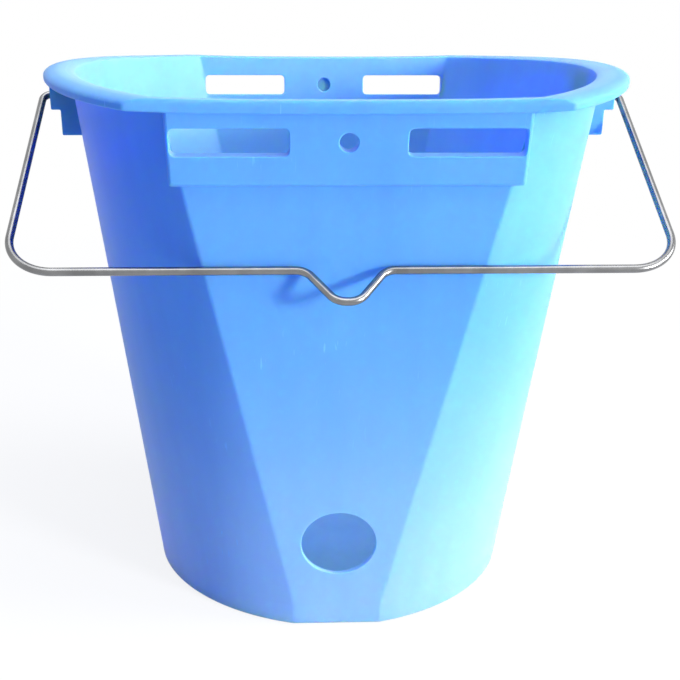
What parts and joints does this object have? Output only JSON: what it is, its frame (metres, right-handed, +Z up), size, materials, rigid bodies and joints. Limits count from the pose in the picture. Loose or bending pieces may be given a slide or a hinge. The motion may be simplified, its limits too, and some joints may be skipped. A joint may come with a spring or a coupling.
{
  "type": "teat feeding bucket",
  "caption": "Flat-fronted plastic feeding bucket with a round teat hole low in the front, slotted hanger bands under the rim and a swinging wire bail.",
  "frame": {"origin": "centre of the base's underside", "axes": "+X to the right along the bail's hinge line, the front panel with the teat hole faces -Y, +Z up"},
  "size_m": [0.32, 0.26, 0.2975],
  "materials": {
    "blue_plastic": "moulded, slightly translucent",
    "bright_wire": "zinc plated"
  },
  "bodies": {
    "bucket": {"bucket_body": "blue_plastic"},
    "bail": {"bail_handle": "bright_wire"}
  },
  "joints": [
    {"name": "bail_swing", "type": "hinge", "parent": "bucket", "child": "bail", "pos_m": [0, 0, 0.2808], "axis": [-1, 0, 0], "range_deg": [0, 240.2]}
  ]
}
